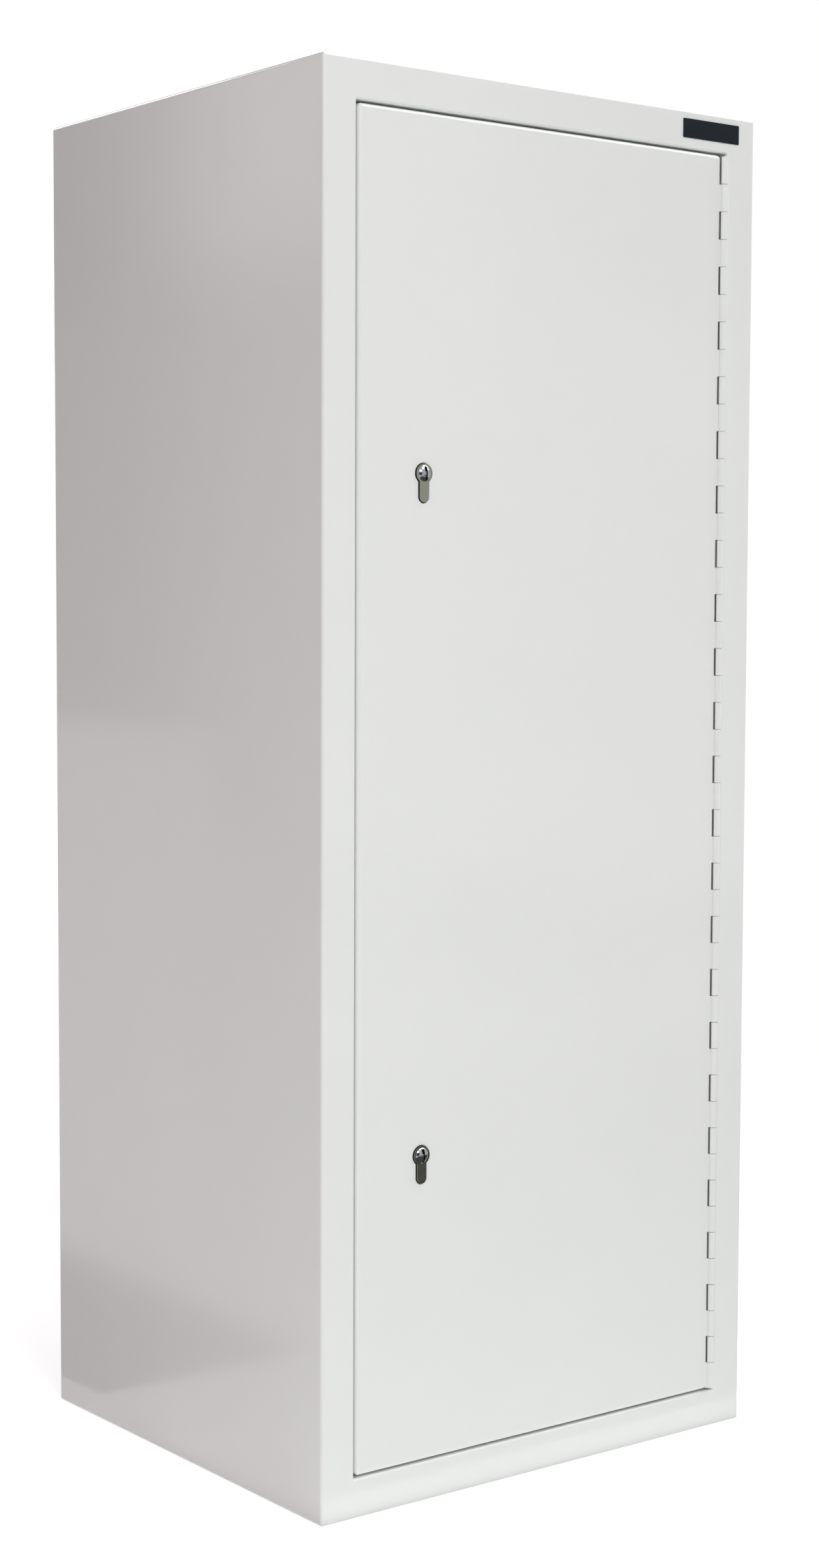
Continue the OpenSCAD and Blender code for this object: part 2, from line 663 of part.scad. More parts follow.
module lock_case(z) color(zinc) at_lock(z) {
    left = -backset + forend_t;
    difference() {
        block([left, case_front, -case_down], [case_rear, case_back - case_wall, case_up]);
        block([left - cut, case_front + case_wall, -case_down + case_wall],
              [case_rear - case_wall, case_back, case_up - case_wall]);
        plate_y(case_front - cut, case_front + case_wall + cut) cylinder_outline(cylinder_clearance);
        screw_holes(case_front - cut, case_front + case_wall + cut);
    }
    translate([stud_x, 0, bolt_rise + bolt_h / 2])
        rod_y(stud_d / 2, case_front + case_wall / 2, case_back - case_wall);
}

module case_cover(z) color(zinc) at_lock(z) difference() {
    block([-backset + forend_t, case_back - case_wall, -case_down], [case_rear, case_back, case_up]);
    plate_y(case_back - case_wall - cut, case_back + cut) cylinder_outline(cylinder_clearance);
    screw_holes(case_back - case_wall - cut, case_back + cut);
}

module case_screws(z) color(zinc) at_lock(z) at_case_screws() screw_y(case_screw_d, liner_front, case_back);

module half_cylinder(z) color(plated) at_lock(z) difference() {
    plate_y(-face_proud, cylinder_back) cylinder_outline(0);
    rod_y(plug_d / 2 + running_clearance, -face_proud - cut, cam_gap_front + cut);
    rod_y(cam_reach + cam_clearance, cam_gap_front, cam_gap_front + cam_gap_w);
    translate([-foot_w, lock_mid, -foot_drop]) rotate([0, 90, 0])
        cylinder(d = fixing_screw_d + 2 * running_clearance, h = 2 * foot_w);
}

module fixing_screw(z) color(zinc) at_lock(z) translate([-backset, lock_mid, -foot_drop]) rotate([0, 90, 0]) {
    cylinder(d = fixing_screw_d, h = backset + foot_w / 2);
    cylinder(r = fixing_screw_d * head_r_ratio, h = forend_t / 2);
}

module plug(z) color(polished) at_lock(z) {
    difference() {
        union() {
            rod_y(plug_d / 2, -face_proud, cam_gap_front);
            intersection() {
                rod_y(plug_d / 2, -face_proud - plug_dome_h - cut, -face_proud);
                translate([0, plug_dome_r - face_proud - plug_dome_h, 0]) sphere(plug_dome_r);
            }
        }
        plate_y(-face_proud - plug_dome_h - cut, keyway_depth - face_proud) {
            rect([keyway_offset - keyway_w / 2, -keyway_h / 2], [keyway_offset + keyway_w / 2, keyway_h / 2]);
            rect([-keyway_top_w / 2, keyway_h / 2 - keyway_top_h], [keyway_top_w / 2, keyway_h / 2]);
        }
    }
    plate_y(cam_gap_front - cut, lock_mid + cam_w / 2) square(tail_side, center = true);
}

module cam(z) color(zinc) at_lock(z) plate_y(lock_mid - cam_w / 2, lock_mid + cam_w / 2) difference() {
    union() {
        circle(cam_hub_r);
        intersection() {
            circle(cam_reach);
            rect([-cam_nose_w / 2, -cam_reach - cut], [cam_nose_w / 2, 0]);
        }
    }
    square(tail_side, center = true);
}

module deadbolt(z) color(plated) at_lock(z) difference() {
    block([bolt_tip, bolt_front, bolt_rise], [bolt_tip + bolt_len, bolt_front + bolt_t, bolt_rise + bolt_h]);
    translate([stud_x, 0, bolt_rise + bolt_h / 2]) plate_y(bolt_front - cut, bolt_front + bolt_t + cut) {
        for (x = [0, bolt_throw]) translate([x, 0]) circle(stud_d / 2 + bolt_clearance);
        rect([0, -stud_d / 2 - bolt_clearance], [bolt_throw, stud_d / 2 + bolt_clearance]);
    }
}

module shelf(number) color(inner_paint) from_front()
    translate([0, shelf_front + shelf_d / 2, ledge_z(number) + shelf_edge_h]) {
        rotate([-90, 0, 0]) tray(shelf_w, shelf_d, shelf_edge_h, shelf_t, shelf_bend_r);
        for (side = [0, 1]) mirror([0, side, 0])
            block([-shelf_w / 2 + shelf_t, -shelf_d / 2 + shelf_t / 2, -shelf_edge_h],
                  [shelf_w / 2 - shelf_t, -shelf_d / 2 + shelf_return_w, -shelf_edge_h + shelf_t]);
    }

module lower_shelf() shelf(lower_shelf_slot);
module middle_shelf() shelf(middle_shelf_slot);
module upper_shelf() shelf(upper_shelf_slot);

left_side_panel();
right_side_panel();
top_panel();
bottom_panel();
back_panel();
upper_anchor_plate();
lower_anchor_plate();
upper_strike_plate();
lower_strike_plate();
door_buffers();
name_plate();
hinge_frame_leaf();
hinge_pin();
rail_left_front();
rail_left_rear();
rail_right_front();
rail_right_rear();
shelf_clips();
lower_shelf();
middle_shelf();
upper_shelf();
door_skin();
door_liner();
stiffener_lock_side();
stiffener_hinge_side();
hinge_door_leaf();
security_bar();
lock_cover();
lock_cover_screws();
backing_plate(lock_z[1]);  // upper_backing_plate
forend(lock_z[1]);  // upper_forend
lock_case(lock_z[1]);  // upper_lock_case
case_cover(lock_z[1]);  // upper_case_cover
case_screws(lock_z[1]);  // upper_case_screws
half_cylinder(lock_z[1]);  // upper_cylinder
fixing_screw(lock_z[1]);  // upper_fixing_screw
plug(lock_z[1]);  // upper_plug
cam(lock_z[1]);  // upper_cam
deadbolt(lock_z[1]);  // upper_deadbolt
backing_plate(lock_z[0]);  // lower_backing_plate
forend(lock_z[0]);  // lower_forend
lock_case(lock_z[0]);  // lower_lock_case
case_cover(lock_z[0]);  // lower_case_cover
case_screws(lock_z[0]);  // lower_case_screws
half_cylinder(lock_z[0]);  // lower_cylinder
fixing_screw(lock_z[0]);  // lower_fixing_screw
plug(lock_z[0]);  // lower_plug
cam(lock_z[0]);  // lower_cam
deadbolt(lock_z[0]);  // lower_deadbolt
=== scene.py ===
# Lockable steel medicine cabinet: camera, studio, finishes, and the small shapes of its locks and fittings
import math
import bmesh
import bpy
from mathutils import Matrix, Vector


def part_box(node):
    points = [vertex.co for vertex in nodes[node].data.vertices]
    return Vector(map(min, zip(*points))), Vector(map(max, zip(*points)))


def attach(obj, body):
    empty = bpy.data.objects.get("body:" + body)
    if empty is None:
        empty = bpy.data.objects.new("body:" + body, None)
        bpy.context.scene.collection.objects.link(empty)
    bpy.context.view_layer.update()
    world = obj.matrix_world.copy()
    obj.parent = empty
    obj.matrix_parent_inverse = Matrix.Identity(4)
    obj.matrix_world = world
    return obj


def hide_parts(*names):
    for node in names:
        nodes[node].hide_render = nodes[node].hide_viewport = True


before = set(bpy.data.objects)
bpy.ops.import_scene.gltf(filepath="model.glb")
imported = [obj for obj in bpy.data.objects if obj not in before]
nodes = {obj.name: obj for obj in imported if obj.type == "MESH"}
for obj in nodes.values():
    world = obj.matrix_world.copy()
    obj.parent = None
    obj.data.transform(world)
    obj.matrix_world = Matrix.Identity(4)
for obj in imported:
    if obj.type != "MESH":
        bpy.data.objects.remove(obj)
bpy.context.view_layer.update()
scene = bpy.context.scene
scene.view_settings.view_transform = "Standard"
print("frame loaded:", len(nodes), "nodes")

# camera, from a fit of the photograph's edges and hinge knuckles
cameraSet = {
    "place": (-1.51396, -1.99667, 0.79775),  # metres
    "heading": 37.4392,   # degrees from +Y towards +X
    "pitch": -4.0863,     # degrees, down is negative
    "roll": 0.2027,
    "lens": 59.3458,      # mm
    "sensor": 36,         # mm along the picture's height
    "clipEnd": 100,       # metres
}
cameraData = bpy.data.cameras.new("photoCamera")
cameraData.lens = cameraSet["lens"]
cameraData.sensor_width = cameraSet["sensor"]
cameraData.clip_end = cameraSet["clipEnd"]
camera = bpy.data.objects.new("photoCamera", cameraData)
scene.collection.objects.link(camera)
camera.matrix_world = (Matrix.Translation(cameraSet["place"])
                       @ Matrix.Rotation(math.radians(-cameraSet["heading"]), 4, "Z")
                       @ Matrix.Rotation(math.radians(90 + cameraSet["pitch"]), 4, "X")
                       @ Matrix.Rotation(math.radians(cameraSet["roll"]), 4, "Z"))
scene.camera = camera
print("camera placed")


def hexColour(text):
    # sRGB hex to the linear colour that Blender works in
    parts = [int(text[i:i + 2], 16) / 255 for i in (1, 3, 5)]
    return tuple(c / 12.92 if c <= 0.04045 else ((c + 0.055) / 1.055) ** 2.4 for c in parts) + (1.0,)


def darkened(colour, share):
    # a linear colour with less light in it, for the other end of a pattern's range
    return tuple(c * share for c in colour[:3]) + (1.0,)


def perMetre(size):
    # pattern scale for features of this size in millimetres
    return 1000.0 / size


def addNode(tree, kind, settings=None, links=None):
    # a key that names or numbers an input sets or feeds that input; any other key is a property of the node
    node = tree.nodes.new(kind)
    for key, value in (settings or {}).items():
        if isinstance(key, int) or key in node.inputs:
            node.inputs[key].default_value = value
        else:
            setattr(node, key, value)
    for key, source in (links or {}).items():
        tree.links.new(source, node.inputs[key])
    return node


def newMaterial(name):
    material = bpy.data.materials.new(name)
    material.use_nodes = True
    material.node_tree.nodes.clear()
    return material, material.node_tree


# studio
studioSet = {
    "skyOnSurfaces": 0.31,     # the white surroundings as they light the object
    "skyFromLeft": "#FFE4E7",  # its faint warm tint on the left, neutral on the right
    "tintStart": -0.6,         # the direction's X where the tint is full, and where it has faded out
    "tintEnd": 0.2,
    "lamps": {                 # place, aim, width and height in metres, power in watts
        "frontSoftbox": ((-1.4, -4.6, 3.2), (0, -0.2, 0.6), 1.5, 1.5, 109.0),
        "leftFrontSoftbox": ((-1.0, -1.2, 0.45), (-0.25, -0.2, 0.4), 0.4, 0.9, 1.6),
        "rightTopSoftbox": ((2.6, -1.2, 2.7), (0, 0, 1.0), 1.2, 1.2, 18.0),
        "backTopSoftbox": ((-0.5, 3.0, 2.6), (0, 0, 0.8), 1.4, 1.4, 30.0),
        "frontBounce": ((0.0, -0.53, 0.003), (0.0, -0.53, 1), 1.1, 0.6, 0.63),
        "leftBounce": ((-0.5, -0.15, 0.003), (-0.5, -0.15, 1), 0.48, 0.4, 0.06),
    },
    "notReflected": ("frontSoftbox", "frontBounce", "leftFrontSoftbox"),   # the cards stand in for these
    # flat cards that only reflections see, the room's lighter and darker parts: corners in metres, brightness
    "cards": {
        "leftWall": ((-3.0, 1.8, 0.05), (-3.0, 6.8, 0.05), (-3.0, 6.8, 3.4), (-3.0, 1.8, 3.4), 0.4),
        "leftPanel": ((-2.9, 3.1, 0.05), (-2.9, 4.1, 0.05), (-2.9, 4.1, 1.7), (-2.9, 3.1, 1.7), 1.0),
        "leftWindow": ((-2.9, 3.1, 1.7), (-2.9, 4.19, 1.7), (-2.9, 4.19, 2.5), (-2.9, 3.1, 2.5), 2.15),
        "leftUpperShade": ((-2.95, 4.3, 1.7), (-2.95, 6.8, 1.7), (-2.95, 6.8, 3.4),
                           (-2.95, 4.3, 3.4), 0.12),
        "leftBox": ((-0.6, 0.5, 0.0), (-0.6, 1.0, 0.0), (-0.6, 1.0, 0.647), (-0.6, 0.5, 0.647), 1.15),
        "darkFloorLeft": ((-0.52, 0.18, 0.012), (-0.27, 0.18, 0.012), (-0.27, 0.75, 0.012),
                          (-0.52, 0.75, 0.012), 0.2),
        "darkUpperRight": ((5.2, -6.4, 2.0), (7.5, -6.4, 2.0), (7.5, -6.4, 3.4), (5.2, -6.4, 3.4), 0.05),
        "frontWall": ((3.2, -6.5, 0.05), (8.0, -6.5, 0.05), (8.0, -6.5, 4.0), (3.2, -6.5, 4.0), 0.68),
        "darkFloor": ((0.8, -4.6, 0.012), (3.2, -4.6, 0.012), (3.2, -2.4, 0.012), (0.8, -2.4, 0.012), 0.08),
        "ceilingLights": ((0.7, -2.2, 3.4), (3.0, -2.2, 3.4), (3.0, 2.0, 3.4), (0.7, 2.0, 3.4), 6.0),
        "rearWall": ((-1.0, 3.2, 1.3), (7.0, 3.2, 1.3), (7.0, 3.2, 3.4), (-1.0, 3.2, 3.4), 0.1),
        "rearCeiling": ((-1.0, 2.05, 3.4), (7.0, 2.05, 3.4), (7.0, 3.2, 3.4), (-1.0, 3.2, 3.4), 0.1),
        "darkFloorNear": ((-0.6, -2.0, 0.012), (2.2, -2.0, 0.012), (2.2, -0.25, 0.012),
                          (-0.6, -0.25, 0.012), 0.13),
        "darkDoorway": ((-2.4, -3.1, 0.0), (-0.6, -3.1, 0.0), (-0.6, -3.1, 1.5), (-2.4, -3.1, 1.5), 0.12),
        "frontWindowLow": ((-1.9, -3.0, 1.75), (-0.5, -3.0, 1.75), (-0.5, -3.0, 3.0),
                           (-1.9, -3.0, 3.0), 4.0),
        "frontWindowHigh": ((-0.1, -3.0, 3.1), (1.1, -3.0, 3.1), (1.1, -2.6, 4.6), (-0.1, -2.6, 4.6), 4.0),
    },
    # a black flag that keeps some of the sky off the rear top of the left side: corners in metres
    "flag": ((-0.85, 0.15, 1.0), (-0.85, 0.6, 1.0), (-0.85, 0.6, 1.45), (-0.85, 0.15, 1.45)),
    "flagColour": "#191919",
    "floorHalf": 8.0,          # metres from the middle to the floor's edge
    "floorColour": "#F4F4F4",
    "floorRoughness": 0.7,
    "floorLift": 0.45,         # how much white the camera sees on top of the lit floor
    "floorFadeStart": 0.6,     # metres from the cabinet's middle
    "floorFadeEnd": 2.0,
}
pureWhite = (1, 1, 1, 1)

world = bpy.data.worlds.new("whiteStudio")
scene.world = world
world.use_nodes = True
tree = world.node_tree
tree.nodes.clear()
# the camera and reflections see pure white, and surfaces get the weaker, tinted light
path = addNode(tree, "ShaderNodeLightPath")
seen = addNode(tree, "ShaderNodeMath", {"operation": "MAXIMUM"},
               {0: path.outputs["Is Camera Ray"], 1: path.outputs["Is Glossy Ray"]})
seen = addNode(tree, "ShaderNodeMath", {"operation": "MAXIMUM"},
               {0: seen.outputs[0], 1: path.outputs["Is Transmission Ray"]})
sky = addNode(tree, "ShaderNodeTexCoord").outputs["Generated"]
toward = addNode(tree, "ShaderNodeSeparateXYZ", {}, {0: sky})
sideways = addNode(tree, "ShaderNodeMapRange",
                   {"From Min": studioSet["tintStart"], "From Max": studioSet["tintEnd"]},
                   {"Value": toward.outputs[0]})
tint = addNode(tree, "ShaderNodeMix",
               {"data_type": "RGBA", 6: hexColour(studioSet["skyFromLeft"]), 7: pureWhite},
               {0: sideways.outputs[0]})
lit = addNode(tree, "ShaderNodeBackground", {"Strength": studioSet["skyOnSurfaces"]},
              {"Color": tint.outputs[2]})
white = addNode(tree, "ShaderNodeBackground", {"Color": pureWhite, "Strength": 1.0})
both = addNode(tree, "ShaderNodeMixShader", {},
               {0: seen.outputs[0], 1: lit.outputs[0], 2: white.outputs[0]})
addNode(tree, "ShaderNodeOutputWorld", {}, {"Surface": both.outputs[0]})

for name, (place, aim, width, height, power) in studioSet["lamps"].items():
    data = bpy.data.lights.new(name, "AREA")
    data.shape = "RECTANGLE"
    data.size = width
    data.size_y = height
    data.energy = power
    lamp = bpy.data.objects.new(name, data)
    scene.collection.objects.link(lamp)
    lamp.location = place
    lamp.rotation_euler = (Vector(aim) - Vector(place)).to_track_quat("-Z", "Y").to_euler()
    lamp.visible_camera = False
    lamp.visible_glossy = name not in studioSet["notReflected"]


def addPlane(name, corners):
    mesh = bpy.data.meshes.new(name)
    mesh.from_pydata(corners, [], [(0, 1, 2, 3)])
    plane = bpy.data.objects.new(name, mesh)
    scene.collection.objects.link(plane)
    return plane


for name, (a, b, c, d, brightness) in studioSet["cards"].items():
    card = addPlane(name, [a, b, c, d])
    material, tree = newMaterial(name + "Card")
    glow = addNode(tree, "ShaderNodeEmission", {"Color": pureWhite, "Strength": brightness})
    addNode(tree, "ShaderNodeOutputMaterial", {}, {"Surface": glow.outputs[0]})
    card.data.materials.append(material)
    card.visible_camera = card.visible_diffuse = card.visible_shadow = False
    card.visible_transmission = card.visible_volume_scatter = False

flag = addPlane("blackFlag", studioSet["flag"])
material, tree = newMaterial("blackFlagCloth")
cloth = addNode(tree, "ShaderNodeBsdfDiffuse", {"Color": hexColour(studioSet["flagColour"])})
addNode(tree, "ShaderNodeOutputMaterial", {}, {"Surface": cloth.outputs[0]})
flag.data.materials.append(material)
flag.visible_camera = flag.visible_glossy = flag.visible_transmission = False

# floor: plain and pale, with the cabinet's shadow, and white for the camera further out
far = studioSet["floorHalf"]
floor = addPlane("studioFloor", [(-far, -far, 0), (far, -far, 0), (far, far, 0), (-far, far, 0)])
material, tree = newMaterial("paleFloorPaint")
spot = addNode(tree, "ShaderNodeTexCoord")
away = addNode(tree, "ShaderNodeVectorMath", {"operation": "LENGTH"}, {0: spot.outputs["Object"]})
fade = addNode(tree, "ShaderNodeMapRange",
               {"From Min": studioSet["floorFadeStart"], "From Max": studioSet["floorFadeEnd"],
                "interpolation_type": "SMOOTHSTEP"}, {"Value": away.outputs["Value"]})
path = addNode(tree, "ShaderNodeLightPath")
seen = addNode(tree, "ShaderNodeMath", {"operation": "MAXIMUM"},
               {0: path.outputs["Is Camera Ray"], 1: path.outputs["Is Glossy Ray"]})
share = addNode(tree, "ShaderNodeMath", {"operation": "MULTIPLY"},
                {0: fade.outputs[0], 1: seen.outputs[0]})
paint = addNode(tree, "ShaderNodeBsdfPrincipled",
                {"Base Color": hexColour(studioSet["floorColour"]), "Roughness": studioSet["floorRoughness"]})
lift = addNode(tree, "ShaderNodeMath", {"operation": "MULTIPLY", 1: studioSet["floorLift"]},
               {0: seen.outputs[0]})
veil = addNode(tree, "ShaderNodeEmission", {"Color": pureWhite}, {"Strength": lift.outputs[0]})
near = addNode(tree, "ShaderNodeAddShader", {}, {0: paint.outputs[0], 1: veil.outputs[0]})
glow = addNode(tree, "ShaderNodeEmission", {"Color": pureWhite, "Strength": 1.0})
both = addNode(tree, "ShaderNodeMixShader", {},
               {0: share.outputs[0], 1: near.outputs[0], 2: glow.outputs[0]})
addNode(tree, "ShaderNodeOutputMaterial", {}, {"Surface": both.outputs[0]})
floor.data.materials.append(material)
print("studio lit")


# white epoxy-polyester powder coat, sprayed and baked, on every painted sheet: a soft mirror over white,
# with the faint bumps of orange peel and slow waves of the thin sheet that bend what it reflects
paintSet = {
    "outside": "#E9EDEB",
    "inside": "#EAE9E6",
    "cloudDarker": 0.975,      # light left where the coat is a little thinner
    "cloudSize": 90.0,         # mm
    "ior": 1.5,
    "roughness": 0.165,
    "insideRougher": 1.2,      # the spray reaches the inside less well
    "roughnessSpread": 0.12,   # share of the roughness, up and down
    "roughnessSize": 40.0,     # mm
    "peelSize": 7.0,           # mm; real peel is 2 to 4, drawn coarser so that it shows
    "peelDepth": 0.03,         # mm
    "waveSize": 160.0,         # mm
    "waveDepth": 0.25,         # mm
}

# painted shade in the narrow slot beside the frame's hinge knuckles: the coat turns dark along the leaf's
# side towards the door
slotShadeSet = {
    "colour": "#4A4845",
    "edge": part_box("hinge_frame_leaf")[0].x,   # metres, the leaf's side towards the door
    "fade": 0.00015,
}


def powderCoat(name, colour, rougher=1.0, slotShade=False):
    material, tree = newMaterial(name)
    spot = addNode(tree, "ShaderNodeTexCoord").outputs["Object"]
    base = hexColour(colour)
    cloud = addNode(tree, "ShaderNodeTexNoise", {"Scale": perMetre(paintSet["cloudSize"]), "Detail": 3.0},
                    {"Vector": spot})
    tint = addNode(tree, "ShaderNodeMix",
                   {"data_type": "RGBA", 6: darkened(base, paintSet["cloudDarker"]), 7: base},
                   {0: cloud.outputs["Fac"]})
    # painted shade: darkens the coat towards the slot beside the frame's knuckles
    if slotShade:
        across = addNode(tree, "ShaderNodeSeparateXYZ", {}, {0: spot}).outputs[0]
        slotShadeMask = addNode(tree, "ShaderNodeMapRange",
                       {"From Min": slotShadeSet["edge"] + slotShadeSet["fade"],
                        "From Max": slotShadeSet["edge"]}, {"Value": across})
        tint = addNode(tree, "ShaderNodeMix", {"data_type": "RGBA", 7: hexColour(slotShadeSet["colour"])},
                       {0: slotShadeMask.outputs[0], 6: tint.outputs[2]})
    gloss = addNode(tree, "ShaderNodeTexNoise",
                    {"Scale": perMetre(paintSet["roughnessSize"]), "Detail": 4.0}, {"Vector": spot})
    middle = paintSet["roughness"] * rougher
    spread = middle * paintSet["roughnessSpread"]
    rough = addNode(tree, "ShaderNodeMapRange", {"To Min": middle - spread, "To Max": middle + spread},
                    {"Value": gloss.outputs["Fac"]})
    wave = addNode(tree, "ShaderNodeTexNoise", {"Scale": perMetre(paintSet["waveSize"]), "Detail": 0.0},
                   {"Vector": spot})
    waved = addNode(tree, "ShaderNodeBump", {"Distance": paintSet["waveDepth"] / 1000},
                    {"Height": wave.outputs["Fac"]})
    peel = addNode(tree, "ShaderNodeTexNoise", {"Scale": perMetre(paintSet["peelSize"]), "Detail": 1.0},
                   {"Vector": spot})
    peeled = addNode(tree, "ShaderNodeBump", {"Distance": paintSet["peelDepth"] / 1000},
                     {"Height": peel.outputs["Fac"], "Normal": waved.outputs[0]})
    shader = addNode(tree, "ShaderNodeBsdfPrincipled", {"IOR": paintSet["ior"]},
                     {"Base Color": tint.outputs[2], "Roughness": rough.outputs[0],
                      "Normal": peeled.outputs[0]})
    addNode(tree, "ShaderNodeOutputMaterial", {}, {"Surface": shader.outputs[0]})
    return material


# metals, with what each gives the eye; grain and depth in mm, the grain drawn coarser than the real one so
# that it shows, and streak the way that the brushing runs, or None for an even grain
metalSet = {
    # zinc plate on pressed steel: pale bluish grey with broad, soft reflections
    "zincPlatedSteel": {"colour": "#C3C7CA", "roughness": 0.34, "grain": 1.2, "depth": 0.004, "streak": None},
    # nickel plate on brushed brass: a warm grey face with faint upright streaks
    "satinNickelPlate": {"colour": "#A6A698", "roughness": 0.2, "grain": 0.5, "depth": 0.004, "streak": "Z"},
    # nickel plate on turned and polished brass: a cool, dark mirror with small glints
    "brightNickelPlate": {"colour": "#A3A5A8", "roughness": 0.1, "grain": 0.8, "depth": 0.001, "streak": "Z"},
    # nickel plate on a drawn steel bar: pale and warm, streaked the way that the bolt slides
    "nickelPlatedBoltSteel": {"colour": "#BDBAB1", "roughness": 0.26, "grain": 0.6, "depth": 0.004,
                              "streak": "X"},
    # steel powder, pressed and sintered: dull dark grey with fine pits
    "sinteredSteel": {"colour": "#77756F", "roughness": 0.5, "grain": 0.4, "depth": 0.02, "streak": None},
}
metalPattern = {
    "streakStretch": 0.06,     # the grain's width over its length
    "cloudDarker": 0.82,       # light left where the surface has dulled
    "cloudSize": 12.0,         # mm
    "roughnessSpread": 0.3,    # share of the roughness, up and down
}

# painted shade, partly dirt, on the cylinder's sides, where it stands in the door's hole
gapShadeAndGrimeSet = {
    "colour": "#2B2927",
    "face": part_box("upper_cylinder")[0].y,     # metres
    "start": 0.0003,           # metres behind the face
    "full": 0.0009,
}


def metal(name, shadedAndGrimy=False):
    chosen = metalSet[name]
    material, tree = newMaterial(name)
    spot = addNode(tree, "ShaderNodeTexCoord").outputs["Object"]
    thin = metalPattern["streakStretch"]
    stretch = {"X": (thin, 1, 1), "Z": (1, 1, thin), None: (1, 1, 1)}[chosen["streak"]]
    place = addNode(tree, "ShaderNodeMapping", {"Scale": stretch}, {"Vector": spot})
    grain = addNode(tree, "ShaderNodeTexNoise", {"Scale": perMetre(chosen["grain"]), "Detail": 3.0},
                    {"Vector": place.outputs[0]})
    cloud = addNode(tree, "ShaderNodeTexNoise",
                    {"Scale": perMetre(metalPattern["cloudSize"]), "Detail": 2.0}, {"Vector": spot})
    base = hexColour(chosen["colour"])
    tint = addNode(tree, "ShaderNodeMix",
                   {"data_type": "RGBA", 6: darkened(base, metalPattern["cloudDarker"]), 7: base},
                   {0: cloud.outputs["Fac"]})
    # painted shade with some dirt: the sides darken behind the face, into the door's hole
    if shadedAndGrimy:
        depth = addNode(tree, "ShaderNodeSeparateXYZ", {}, {0: spot}).outputs[1]
        gapShadeAndGrimeMask = addNode(tree, "ShaderNodeMapRange",
                        {"From Min": gapShadeAndGrimeSet["face"] + gapShadeAndGrimeSet["start"],
                         "From Max": gapShadeAndGrimeSet["face"] + gapShadeAndGrimeSet["full"]}, {"Value": depth})
        tint = addNode(tree, "ShaderNodeMix", {"data_type": "RGBA", 7: hexColour(gapShadeAndGrimeSet["colour"])},
                       {0: gapShadeAndGrimeMask.outputs[0], 6: tint.outputs[2]})
    spread = chosen["roughness"] * metalPattern["roughnessSpread"]
    rough = addNode(tree, "ShaderNodeMapRange",
                    {"To Min": chosen["roughness"] - spread, "To Max": chosen["roughness"] + spread},
                    {"Value": grain.outputs["Fac"]})
    bump = addNode(tree, "ShaderNodeBump", {"Distance": chosen["depth"] / 1000},
                   {"Height": grain.outputs["Fac"]})
    shader = addNode(tree, "ShaderNodeBsdfPrincipled", {"Metallic": 1.0},
                     {"Base Color": tint.outputs[2], "Roughness": rough.outputs[0],
                      "Normal": bump.outputs[0]})
    addNode(tree, "ShaderNodeOutputMaterial", {}, {"Surface": shader.outputs[0]})
    return material


# the two dark finishes; grain and depth in mm, the grain drawn coarser than the real one so that it shows
darkSet = {
    # black rubber from a mould: matt and a little grey, with a fine even grain
    "mouldedBlackRubber": {"colour": "#232324", "roughness": 0.78, "grain": 0.7, "depth": 0.03,
                           "streak": None},
    # aluminium, brushed and anodised black: a satin blue-black with faint streaks along the plate
    "blackAnodisedAluminium": {"colour": "#0C1820", "roughness": 0.2, "grain": 0.5, "depth": 0.003,
                               "streak": "X"},
}
darkPattern = {
    "ior": 1.5,
    "streakStretch": 0.03,     # the grain's width over its length
    "grainDarker": 0.75,       # light left in the grain's hollows
    "roughnessSpread": 0.15,   # share of the roughness, up and down
}


def darkFinish(name):
    chosen = darkSet[name]
    material, tree = newMaterial(name)
    spot = addNode(tree, "ShaderNodeTexCoord").outputs["Object"]
    stretch = (darkPattern["streakStretch"], 1, 1) if chosen["streak"] else (1, 1, 1)
    place = addNode(tree, "ShaderNodeMapping", {"Scale": stretch}, {"Vector": spot})
    grain = addNode(tree, "ShaderNodeTexNoise", {"Scale": perMetre(chosen["grain"]), "Detail": 3.0},
                    {"Vector": place.outputs[0]})
    base = hexColour(chosen["colour"])
    tint = addNode(tree, "ShaderNodeMix",
                   {"data_type": "RGBA", 6: darkened(base, darkPattern["grainDarker"]), 7: base},
                   {0: grain.outputs["Fac"]})
    spread = chosen["roughness"] * darkPattern["roughnessSpread"]
    rough = addNode(tree, "ShaderNodeMapRange",
                    {"To Min": chosen["roughness"] - spread, "To Max": chosen["roughness"] + spread},
                    {"Value": grain.outputs["Fac"]})
    bump = addNode(tree, "ShaderNodeBump", {"Distance": chosen["depth"] / 1000},
                   {"Height": grain.outputs["Fac"]})
    shader = addNode(tree, "ShaderNodeBsdfPrincipled", {"IOR": darkPattern["ior"]},
                     {"Base Color": tint.outputs[2], "Roughness": rough.outputs[0],
                      "Normal": bump.outputs[0]})
    addNode(tree, "ShaderNodeOutputMaterial", {}, {"Surface": shader.outputs[0]})
    return material


rougherInside = paintSet["insideRougher"]
slotFinish = {
    "body_paint": powderCoat("whitePowderCoatOnBody", paintSet["outside"]),
    "door_paint": powderCoat("whitePowderCoatOnDoor", paintSet["outside"]),
    "hinge_paint": powderCoat("whitePowderCoatOnHinge", paintSet["outside"]),
    "inner_paint": powderCoat("whitePowderCoatInside", paintSet["inside"], rougherInside),
    "rail_paint": powderCoat("whitePowderCoatOnRails", paintSet["inside"], rougherInside),
    "shelf_paint": powderCoat("whitePowderCoatOnShelves", paintSet["inside"]),
    "zinc_steel": metal("zincPlatedSteel"),
    "satin_nickel": metal("satinNickelPlate", shadedAndGrimy=True),
    "bright_nickel": metal("brightNickelPlate"),
    "cam_steel": metal("sinteredSteel"),
    "bolt_nickel": metal("nickelPlatedBoltSteel"),
    "buffer_rubber": darkFinish("mouldedBlackRubber"),
    "blank_plate": darkFinish("blackAnodisedAluminium"),
}
for name, node in nodes.items():
    for place in node.material_slots:
        place.material = slotFinish[place.material.name.split(".")[0]]
